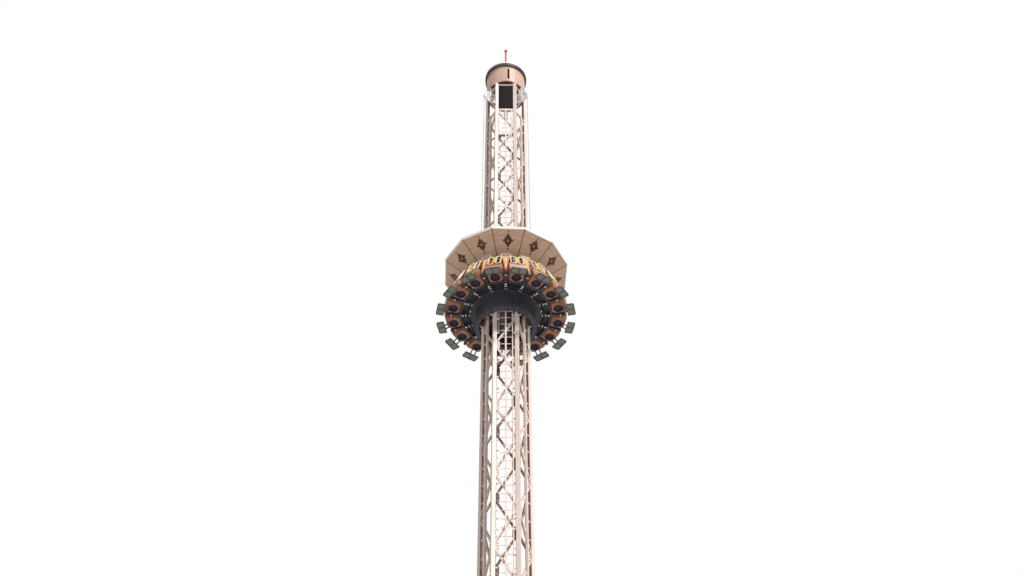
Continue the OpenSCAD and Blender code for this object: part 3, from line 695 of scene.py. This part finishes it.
def make_backs():
    """Moulded backs with round shoulders, a waist and a swell for the small of the rider's back"""
    full_lean, swell, inset, thickness = 0.012, 0.006, 0.006, 0.050
    waist, shoulder = 0.07, 0.86
    rings = []
    for share in spread(0, 1, 26):
        lean = full_lean * share
        front = BACK_FRONT_R - lean + swell * math.sin(math.pi * min(share * 1.6, 1)) - inset
        rear = BACK_FRONT_R - thickness - lean
        half = BACK_W / 2 * (1 - waist + waist * math.cos(2 * math.pi * share))
        if share > shoulder:
            crown = (share - shoulder) / (1 - shoulder)
            half *= math.sqrt(1 - 0.55 * crown ** 2)
            rear += 0.004 * crown
        z = between(SEAT_Z, BACK_TOP, share)
        rings.append([(x, y - (front + rear) / 2, z)
                      for x, y in superellipse(half, (front - rear) / 2, 4.5, 28)])
    one = Shape().add(loft(rings))
    piece = Shape().repeat(one, AT_SEATS).piece("moulded_backs", "gondola", "shell_orange",
                                                [SHELL_BACK], 50)
    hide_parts("seat_backs")


def welded(points, faces):
    """The same form with points that lie together made one"""
    known, kept, number = {}, [], []
    for point in points:
        key = tuple(round(c, 6) for c in point)
        if key not in known:
            known[key] = len(kept)
            kept.append(point)
        number.append(known[key])
    joined = [tuple(dict.fromkeys(number[i] for i in face)) for face in faces]
    return kept, [face for face in joined if len(face) > 2]


def crowned_pad(half_w, half_l, thick, channels):
    """A stuffed pad drawn flat in X and Y, crowned towards +Z, with sewn channels across it"""
    power, seam_depth, flat_side = 5.0, 0.28, 0.5
    across = 22
    along = int(across * half_l / half_w)
    points, faces = [], []
    for side in (1, -1):
        for v in spread(-1, 1, along):
            for u in spread(-1, 1, across):
                largest = max(abs(u), abs(v))
                reach = (abs(u) ** power + abs(v) ** power) ** (1 / power)
                pull = largest / reach if reach > 1e-6 else 1.0
                height = thick / 2 * (1 - largest ** 6) ** 0.5
                if side > 0:
                    sew = abs(math.sin(math.pi * (v + 1) / 2 * (channels + 1)))
                    height *= 1 - seam_depth + seam_depth * min(sew * 2.2, 1)
                else:
                    height *= -flat_side
                points.append((u * pull * half_w, v * pull * half_l, height))
    width = across + 1
    count = width * (along + 1)
    for j in range(along):
        for i in range(across):
            a = j * width + i
            faces.append((a, a + 1, a + width + 1, a + width))
            faces.append((count + a, count + a + width, count + a + width + 1, count + a + 1))
    return Shape().add(welded(points, faces))


def make_cushions():
    """A cushion on each seat and on each back"""
    seat_r, seat_sink, back_sink, back_rise, lean = 1.030, 0.014, 0.004, 0.205, 1.7
    lying = move(0, -seat_r, SEAT_Z - seat_sink)
    standing = move(0, back_sink - BACK_FRONT_R, SEAT_Z + back_rise) @ turned(90 + lean, "X")
    kinds = (("seat", crowned_pad(0.118, 0.082, 0.036, channels=2), lying),
             ("back", crowned_pad(0.086, 0.140, 0.030, channels=3), standing))
    for number, place in enumerate(AT_SEATS, 1):
        for kind, pad, pose in kinds:
            cushion = Shape().repeat(pad, [place @ pose]).piece(
                f"{kind}_cushion_{number:02d}", "gondola", "shell_orange", [SEAT_VINYL], 60)


# Restraints
def loop_path():
    """Middle line of a restraint's loop, two half turns with straight sides between them"""
    radius = (LOOP_W - LOOP_BAR) / 2
    path = []
    for middle, start in ((-LOOP_W / 2, 0), (-LOOP_L + LOOP_W / 2, math.pi)):
        for turn in spread(start, start + math.pi, 12):
            path.append((radius * math.cos(turn), middle + radius * math.sin(turn), 0))
    return path


def restraint_metalwork(hang):
    """Two loops joined by cross bars, and two arms up to the barrel that turns on the pivot"""
    shape = Shape()
    for hand in (-1, 1):
        shape.add(tube(loop_path(), 0.8 * LOOP_BAR, 14, closed=True), hang @ move(hand * LOOP_X, 0, 0))
        arm = [(hand * (BARREL_HALF - 0.012), -between(PIVOT_R, LOOP_TOP_R + 0.004, share),
                PIVOT_Z - LOOP_TOP_DROP * share ** 1.6) for share in spread(0, 1, 6)]
        shape.add(tube(arm, 0.011, 10, flat=0.75))
    bore, edge, half = 0.0092, 0.002, BARREL_HALF
    barrel = lathe([(bore, -half), (BARREL_R - edge, -half), (BARREL_R, edge - half),
                    (BARREL_R, half - edge), (BARREL_R - edge, half), (bore, half)], 28)
    shape.add(barrel, move(0, -PIVOT_R, PIVOT_Z) @ ACROSS, 1)
    reach = LOOP_X - LOOP_W / 2 + 0.010
    for share in (0.3, 0.7):
        y = -LOOP_L * share
        shape.add(tube([(-reach, y, -0.002), (reach, y, -0.002)], 0.006, 8), hang)
    return shape


def make_restraints():
    """Loops and barrel of each restraint, and the piped pad between the loops"""
    hang = move(0, -LOOP_TOP_R, PIVOT_Z - LOOP_TOP_DROP) @ turned(90 - LOOP_LEAN, "X")
    middle = hang @ move(0, -LOOP_L / 2, 0.003)
    metalwork = restraint_metalwork(hang)
    half_w, half_l, seam_in = 0.034, 0.128, 0.0005
    pad = crowned_pad(half_w, half_l, 0.034, channels=3)
    piping = [(x, y, 0.0) for x, y in superellipse(half_w - seam_in, half_l - seam_in, 5.0, 40)]
    pad.add(tube(piping, 0.0028, 6, closed=True))
    for number, place in enumerate(AT_SEATS, 1):
        name = f"restraint_{number:02d}"
        bars = Shape().repeat(metalwork, [place]).piece(f"{name}_bars", name, "rim_white",
                                                        [TUBE_WHITE, DARK], 45)
        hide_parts(name)
        cushion = Shape().repeat(pad, [place @ middle]).piece(f"{name}_pad", name, "restraint_yellow",
                                                              [YELLOW], 60)


# Between the seats
def make_dividers():
    """V-shaped dividers: a pale core between two orange arms that turn yellow at the top; the yellow and
    the pale core are painted highlights on the orange moulding
    """
    # Width, place from the axis, and depth
    foot, top = (0.040, 1.080, 0.080), (0.132, 0.915, 0.070)
    core, arms = [], {-1: [], 1: []}
    for share in spread(0, 1, 12):
        width, radius, depth = (between(low, high, share) for low, high in zip(foot, top))
        z = between(ARM_TOP, BACK_TOP, share)
        bar = between(0.010, 0.019, share)
        core.append([(x, y - radius, z)
                     for x, y in superellipse(width / 2 - 0.004, depth / 2 - 0.004, 5, 20)])
        for hand, rings in arms.items():
            rings.append([(x + hand * (width / 2 - bar * 0.8), y - radius, z)
                          for x, y in superellipse(bar, depth / 2 + 0.003, 4, 16)])
    one = Shape().add(loft(core), HERE, 1).add(loft(arms[-1])).add(loft(arms[1]))
    piece = Shape().repeat(one, AT_ARMS).piece("divider_shells", "gondola", "divider_orange",
                                               [DIVIDER, DIVIDER_CORE_HIGHLIGHT], 45)
    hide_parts("seat_dividers")


def make_housings():
    """Hinge housings with soft edges, a cream edge strip, a cover plate and its screws"""
    half_w, half_d, half_h = 0.088, 0.046, 0.038
    strip_r, strip_in, strip_gap = 0.0065, 0.003, 0.004
    bar_r, bar_half = 0.009, 0.093
    middle = move(0, -PIVOT_R, BACK_TOP + half_h)
    one = Shape().add(block((2 * half_w, 2 * half_d, 2 * half_h), 0.008), middle)
    cover = block((2 * half_w - 0.034, 0.004, 2 * half_h - 0.030), 0.0015)
    one.add(cover, middle @ move(0, -half_d - 0.001, 0))
    y = strip_in - half_d
    for hand in (-1, 1):
        x, z = hand * (half_w - strip_in), hand * (half_h - strip_in)
        level = [(strip_gap - half_w, y, z), (half_w - strip_gap, y, z)]
        upright = [(x, y, strip_gap - half_h), (x, y, half_h - strip_gap)]
        one.add(tube(level, strip_r, 8), middle, 1)
        one.add(tube(upright, strip_r, 8), middle, 1)
    one.repeat(bolt(0.0045, 0.004), [middle @ move(x, -half_d - 0.003, z) @ OUTWARDS
                                     for x in (-0.060, 0.060) for z in (-0.016, 0.016)])
    bar = Shape().add(lathe([(0.0, -bar_half), (bar_r, -bar_half), (bar_r, bar_half), (0.0, bar_half)], 20),
                      move(0, -PIVOT_R, PIVOT_Z) @ ACROSS, 2)
    shape = Shape().repeat(one, AT_ARMS).repeat(bar, AT_SEATS)
    piece = shape.piece("hinge_housings", "gondola", "housing_brown", [HOUSING, CREAM, STEEL], 40)
    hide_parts("hinge_ring")


# Canopy
def panel_place(number):
    """Placement of a canopy panel's underside: X along the rim, +Y down the slope towards the axis"""
    rim_middle = at(CANOPY_TURN + (number + 0.5) * CORNER_STEP, RIM_FLAT_R, CANOPY_Z)
    return rim_middle @ turned(-PANEL_SLOPE, "X")


def leaf(centre, half_w, half_l, turn):
    """Outline of a pointed leaf"""
    out = []
    c, s = math.cos(turn), math.sin(turn)
    for angle in full_turn(16):
        x = half_w * math.sin(angle) * abs(math.sin(angle)) ** 0.25
        y = half_l * math.cos(angle)
        out.append((centre[0] + x * c - y * s, centre[1] + x * s + y * c))
    return out


def make_ornaments():
    """A plain flower of leaves between two lozenges, inlaid on the underside of every panel"""
    low, high, edge = -0.0022, 0.0004, 0.0006
    middle, stretch = 0.225, 1.45
    long_leaf, short_leaf = 0.088, 0.066
    one = Shape()
    for k in range(8):
        turn = math.pi / 4 * k
        reach = short_leaf if k % 2 else long_leaf
        centre = (-math.sin(turn) * reach * 0.58, middle + math.cos(turn) * reach * 0.58 * stretch)
        one.add(prism(leaf(centre, 0.029, reach * 0.60, turn), low, high, edge))
    for number, radius, deeper in ((0, 0.030, 0.0010), (1, 0.014, 0.0022)):
        ring = [(radius * math.cos(a), middle + radius * stretch * math.sin(a)) for a in full_turn(20)]
        one.add(prism(ring, low - deeper, high, edge), HERE, number)
    for y, half in ((middle + 0.158, 0.024), (middle - 0.158, 0.018)):
        one.add(prism([(0, y - half), (half * 0.9, y), (0, y + half), (-half * 0.9, y)], low, high, edge))
    Shape().repeat(one, [panel_place(k) for k in range(CORNERS)]).piece(
        "panel_ornaments", "gondola", "panel_brown", [ORNAMENT, PANEL], 40)


def make_rim_joints():
    """Bent cover plates with bolts where the canopy rim's lengths meet"""
    low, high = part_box("canopy_rim")
    plate = block((0.034, 0.003, high.z - low.z - 0.006), 0.001)
    shape = Shape()
    for k, hand in product(range(CORNERS), (-1, 1)):
        corner = at(CANOPY_TURN + k * CORNER_STEP, RIM_R, (low.z + high.z) / 2)
        half = corner @ turned(hand * CORNER_STEP / 2, "Z")
        shape.add(plate, half @ move(hand * 0.0165, -0.0008, 0))
        shape.repeat(bolt(0.004, 0.004), [half @ move(hand * 0.020, -0.002, z) @ OUTWARDS
                                          for z in (-0.015, 0.015)])
    shape.piece("rim_joints", "gondola", "rim_white", [WHITE], 40)


# Head
def make_head():
    """The drum's seams, bands, slats and soffit, and the roof's edge"""
    low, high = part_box("head_drum")
    drum_r, drum_middle = high.x, (low.z + high.z) / 2
    roof_r, roof_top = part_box("head_roof")[1].x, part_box("head_roof")[1].z
    seam_count, seam_turn, rivet_pitch = 12, 2, 0.078
    seams = Shape()
    for k in range(seam_count):
        place = at(k * 360 / seam_count + seam_turn, drum_r, drum_middle)
        seams.add(block((0.026, 0.006, high.z - low.z - 0.03), 0.002), place)
        seams.repeat(bolt(0.003, 0.003), [place @ move(x, -0.003, row * rivet_pitch) @ OUTWARDS
                                          for row in range(-3, 4) for x in (-0.007, 0.007)])
    for z, half in ((low.z + 0.014, 0.014), (high.z - 0.012, 0.012)):
        seams.add(lathe([(drum_r - 0.002, z - half), (drum_r + 0.006, z - half), (drum_r + 0.007, z),
                         (drum_r + 0.006, z + half), (drum_r - 0.002, z + half)], 96))
    seams.piece("drum_seams", "tower", "sand_paint", [SAND_DEEP], 40)
    slat_count, slat_pitch, slat_turn = 20, 0.020, 35
    slot = at(SLOT_AZIMUTH, drum_r - 0.013, drum_middle)
    grille = Shape().add(block((0.044, 0.002, slat_count * slat_pitch)), slot)
    for k in range(slat_count):
        slat = slot @ move(0, -0.006, (k + 0.5 - slat_count / 2) * slat_pitch) @ turned(slat_turn, "X")
        grille.add(block((0.043, 0.010, 0.003)), slat)
    grille.piece("drum_grille", "tower", "roof_dark", [ROOF], 40)
    edge = lathe([(roof_r - 0.001, roof_top - 0.034), (roof_r + 0.004, roof_top - 0.032),
                  (roof_r + 0.004, roof_top + 0.003), (roof_r - 0.002, roof_top + 0.006),
                  (roof_r - 0.030, roof_top + 0.006), (roof_r - 0.032, roof_top - 0.001)], 96)
    Shape().add(edge).piece("roof_edge", "tower", "rim_white", [WHITE], 40)
    # Painted shade: the soffit under the drum is in the dark roof paint, standing for the shade inside the
    # head
    soffit = lathe([(0.0, low.z - 0.002), (drum_r - 0.020, low.z - 0.002), (drum_r - 0.016, low.z + 0.001),
                    (0.0, low.z + 0.001)], 96)
    Shape().add(soffit).piece("drum_soffit", "tower", "roof_dark", [ROOF], 40)


def make_brackets():
    """Round-ended bracket plates with their nuts and bolts, and an axle a little thinner than the bore"""
    rise, half = DRUM_Z - HEAD_Z - SHEAVE_RISE, 0.045
    plate_x, plate_t, axle_r, axle_half = 0.028, 0.012, 0.0152, 0.0335
    outline = [(half * math.sin(turn), half * math.cos(turn)) for turn in spread(0, math.pi, 12)]
    outline += [(-rise, -half), (-rise, half)]
    axle = lathe([(0.0, -axle_half), (axle_r, -axle_half), (axle_r, axle_half), (0.0, axle_half)], 28)
    one, nuts = Shape().add(axle, ACROSS), Shape()
    for hand in (-1, 1):
        x = hand * plate_x
        one.add(prism(outline, x - plate_t / 2, x + plate_t / 2, 0.002), ACROSS)
        face = move(x + hand * plate_t / 2, 0, 0) @ turned(hand * 90, "Y")
        nuts.repeat(bolt(0.014, 0.012), [face])
        nuts.repeat(bolt(0.006, 0.006), [move(0, y, z) @ face
                                         for y in (-0.030, 0.030) for z in (0.16, 0.21)])
    places = [at(azimuth, SHEAVE_PLACE, HEAD_Z + SHEAVE_RISE) for azimuth in SHEAVE_AZIMUTHS]
    piece = Shape().repeat(one, places).piece("bracket_plates", "tower", "sheave_white", [WHITE], 40)
    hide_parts("sheave_brackets")
    Shape().repeat(nuts, places).piece("axle_nuts", "tower", "sheave_white", [ZINC], 40)


def make_ropes():
    """The ropes between the sheaves and the car, as long as the frame's lift ropes"""
    low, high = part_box("lift_ropes")
    rope_r = 0.006
    path = [(0, 0, z) for z in spread(low.z, high.z, 48)]
    for number, azimuth in enumerate(SHEAVE_AZIMUTHS, 1):
        shape = Shape().add(tube(path, rope_r, 10), at(azimuth, SHEAVE_PLACE + GROOVE_R))
        piece = shape.piece(f"lift_rope_{number}", None, "rope_steel", [ROPE], 50)
        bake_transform(piece)
        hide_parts("lift_ropes")


# Tower
def make_gusset_bolts():
    """Four bolts on each gusset plate, on both of its faces"""
    spots = ((0.044, 0.050), (0.044, -0.050), (0.074, 0.026), (0.074, -0.026))
    head = bolt(0.006, 0.007)
    for side in range(1, SIDES + 1):
        places = []
        for k in range(PANELS + 1):
            hand = 1 if (side + k) % 2 else -1
            node = at((side - 1) * SIDE_STEP, FACE_R, FIRST_NODE_Z + k * PANEL_H)
            places += [node @ move(hand * (FACE_HALF - inwards), face * GUSSET_T / 2, up)
                       @ turned(face * -90, "X") for inwards, up in spots for face in (-1, 1)]
        Shape().repeat(head, places).piece(f"gusset_bolts_{side}", "tower", "sand_paint", [ZINC], 40)


def make_column_stubs():
    """Short pale stubs that stand inwards from the columns, for the conduits and brake fins"""
    one = Shape().add(block((0.022, 0.060, 0.022), 0.003))
    places = [column @ turned(turn, "Z") @ move(0, 0.050, z)
              for z in rises(FIRST_NODE_Z + 0.30, HEAD_Z - 0.2, PANEL_H / 2)
              for column in AT_COLUMNS for turn in (-60, 60)]
    Shape().repeat(one, places).piece("column_stubs", "tower", "sheave_white", [WHITE], 40)


def make_conduit_clamps():
    """Clamps that hold the conduit to every fourth rung"""
    clamp = Shape().add(block((0.030, 0.030, 0.026), 0.004))
    places = [at(0, RAIL_R, z) @ move(CONDUIT_X, 0, 0.005)
              for z in rises(FIRST_NODE_Z, HEAD_Z - 0.3, 4 * RUNG_PITCH)]
    Shape().repeat(clamp, places).piece("conduit_clamps", "tower", "sheave_white", [PALE], 40)


def make_base_bolts():
    """Anchor bolts on the feet, on the sides that the gussets leave free"""
    nut_place = 0.072
    anchor = bolt(0.012, 0.016)
    anchor.add(lathe([(0.0, 0.012), (0.007, 0.012), (0.007, 0.030), (0.005, 0.032), (0.0, 0.032)], 12))
    places = [column @ turned(turn, "Z") @ move(nut_place, 0, BASE_H)
              for column in AT_COLUMNS for turn in (0, 90, 180, 270)]
    Shape().repeat(anchor, places).piece("anchor_bolts", "tower", "sand_paint", [ZINC], 40)


# Lift car and the underside of the gondola
def make_rollers():
    """Guide rollers with a pale tyre on a steel hub"""
    low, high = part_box("guide_rollers")
    tyre = lathe([(0.021, -0.016), (0.026, -0.017), (0.028, -0.014), (0.028, 0.014), (0.026, 0.017),
                  (0.021, 0.016)], 32)
    hub = lathe([(0.0, -0.029), (0.007, -0.029), (0.007, -0.017), (0.012, -0.017), (0.013, -0.012),
                 (0.021, -0.012), (0.021, 0.012), (0.013, 0.012), (0.012, 0.017), (0.007, 0.017),
                 (0.007, 0.029), (0.0, 0.029)], 24)
    gap = 0.0005
    places = [column @ turned(turn, "Z") @ move(COLUMN_W / 2 + gap + ROLLER_R, 0, z) @ OUTWARDS
              for z in (low.z + ROLLER_R, high.z - ROLLER_R)
              for column in AT_COLUMNS for turn in (-135, -45)]
    one = Shape().add(tyre, HERE, 1).add(hub)
    piece = Shape().repeat(one, places).piece("tyred_rollers", "lift_car", "roller_steel",
                                              [STEEL, TYRE], 40)
    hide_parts("guide_rollers")


def make_car_bolts():
    """Bolts round the car's low ring, and the screws that hold its panels to the posts"""
    ring_bolts, posts, screw_x = 24, 12, 0.130
    screw_rises = (0.090, 0.200, 0.310, 0.490, 0.650, 0.810, 0.970, 1.130)
    ring, screws = [], []
    for k in range(ring_bolts):
        azimuth = (k + 0.5) * 360 / ring_bolts
        ring += [at(azimuth, (CAR_INNER_R + CAR_OUTER_R) / 2, CAR_LOW) @ DOWNWARDS,
                 at(azimuth, CAR_OUTER_R, CAR_LOW + 0.030) @ OUTWARDS]
    for k, rise in product(range(posts), screw_rises):
        face = at(k * 360 / posts, CAR_FACE_R, CAR_LOW + rise)
        screws += [face @ move(x, 0, 0) @ OUTWARDS for x in (-screw_x, screw_x)]
    shape = Shape().repeat(bolt(0.006, 0.006), ring).repeat(bolt(0.004, 0.004), screws)
    shape.piece("car_bolts", "lift_car", "frame_dark", [ZINC], 40)


def make_under_gondola():
    """Lamps, clamps and hoses under the ring of arms; the pale clamps and the pale blue-white lamp glass
    are painted glints on the dark underside
    """
    rim = lathe([(0.0, 0.004), (0.026, 0.004), (0.030, 0.0), (0.030, -0.014), (0.026, -0.018),
                 (0.022, -0.016), (0.022, -0.010), (0.0, -0.010)], 24)
    glass = lathe([(0.0, -0.011), (0.0215, -0.011), (0.0215, -0.014), (0.018, -0.020), (0.010, -0.024),
                   (0.0, -0.025)], 24)
    # The glass's pale blue-white colour is a painted glint
    lamp = Shape().add(rim).add(glass, HERE, 1)
    lamp_r = 0.800
    lamps = Shape().repeat(lamp, [place @ move(0, -lamp_r, ARM_LOW) for place in AT_ARMS])
    lamps.piece("arm_lamps", "gondola", "rim_white", [DARK, LAMP_CLEAR], 40)
    hose = Shape()
    for ring_r, drop in ((0.700, 0.012), (0.722, 0.020)):
        path = [(ring_r * math.cos(a), ring_r * math.sin(a), ARM_LOW - drop) for a in full_turn(96)]
        hose.add(tube(path, 0.008, 8, closed=True))
    hose.piece("ring_hoses", "gondola", "frame_dark", [HOSE], 60)
    # The clamps are in pale paint so that they show as painted glints on the dark underside
    one = Shape()
    for away in (0.680, 0.742, 1.020):
        one.add(block((0.052, 0.016, 0.010), 0.002), move(0, -away, ARM_LOW - 0.004))
        one.repeat(bolt(0.005, 0.006), [move(x, -away, ARM_LOW - 0.009) @ DOWNWARDS
                                        for x in (-0.019, 0.019)])
    Shape().repeat(one, AT_ARMS).piece("arm_clamps", "gondola", "rim_white", [PALE], 40)


make_seats()
make_backs()
make_cushions()
make_restraints()
make_dividers()
make_housings()
make_ornaments()
make_head()
make_gusset_bolts()
make_column_stubs()
make_ropes()
make_under_gondola()
make_base_bolts()
make_conduit_clamps()
make_brackets()
make_rollers()
make_car_bolts()
make_rim_joints()


# Stage
def make_stage():
    """A pale floor, which throws back a slightly warmer light than the camera sees on it"""
    half, low = 400, -0.002
    mesh = bpy.data.meshes.new("floor")
    mesh.from_pydata([(-half, -half, low), (half, -half, low), (half, half, low), (-half, half, low)],
                     [], [(0, 1, 2, 3)])
    look = Finish("floor_pale")
    pale = look.mix(look.noise(0.8, 3.0), srgb(226, 226, 224), srgb(234, 234, 232))
    seen = look.node("ShaderNodeLightPath", {}).outputs["Is Camera Ray"]
    base = look.mix(seen, srgb(226, 224, 220), pale)
    mesh.materials.append(look.done({"Base Color": base, "Roughness": 0.85}))
    placed("floor", mesh)


def make_light():
    """A soft sun, a weak even fill, and a white background"""
    azimuth, height = math.radians(36), math.radians(44)
    towards = Vector((math.sin(azimuth) * math.cos(height), -math.cos(azimuth) * math.cos(height),
                      math.sin(height)))
    lamp = bpy.data.lights.new("sun", "SUN")
    lamp.energy = 3.0
    lamp.angle = math.radians(6)
    lamp.color = (1.0, 0.975, 0.945)
    placed("sun", lamp).rotation_euler = towards.to_track_quat("Z", "Y").to_euler()
    world = bpy.data.worlds.new("studio")
    bpy.context.scene.world = world
    world.use_nodes = True
    world.node_tree.nodes.clear()
    sky = Tree(world.node_tree)
    fill = sky.node("ShaderNodeBackground", {"Color": (0.90, 0.94, 1.0, 1.0), "Strength": 0.20})
    plain = sky.node("ShaderNodeBackground", {"Color": (1, 1, 1, 1), "Strength": 1.0})
    rays = sky.node("ShaderNodeLightPath", {}).outputs
    seen = sky.combine("MAXIMUM", rays["Is Camera Ray"], rays["Is Glossy Ray"])
    seen = sky.combine("MAXIMUM", seen, rays["Is Transmission Ray"])
    choose = sky.node("ShaderNodeMixShader", {"Fac": seen, 1: fill.outputs[0], 2: plain.outputs[0]})
    sky.node("ShaderNodeOutputWorld", {"Surface": choose.outputs[0]})


def make_camera():
    view = bpy.data.cameras.new("camera")
    view.lens = CAMERA_LENS
    view.sensor_width = 36
    view.shift_x = CAMERA_SHIFT
    view.clip_end = 200
    camera = placed("camera", view)
    camera.location = CAMERA_PLACE
    camera.rotation_euler = (math.radians(90 + CAMERA_PITCH), 0, 0)
    bpy.context.scene.camera = camera


make_stage()
make_light()
make_camera()
bpy.context.scene.view_settings.view_transform = "Standard"
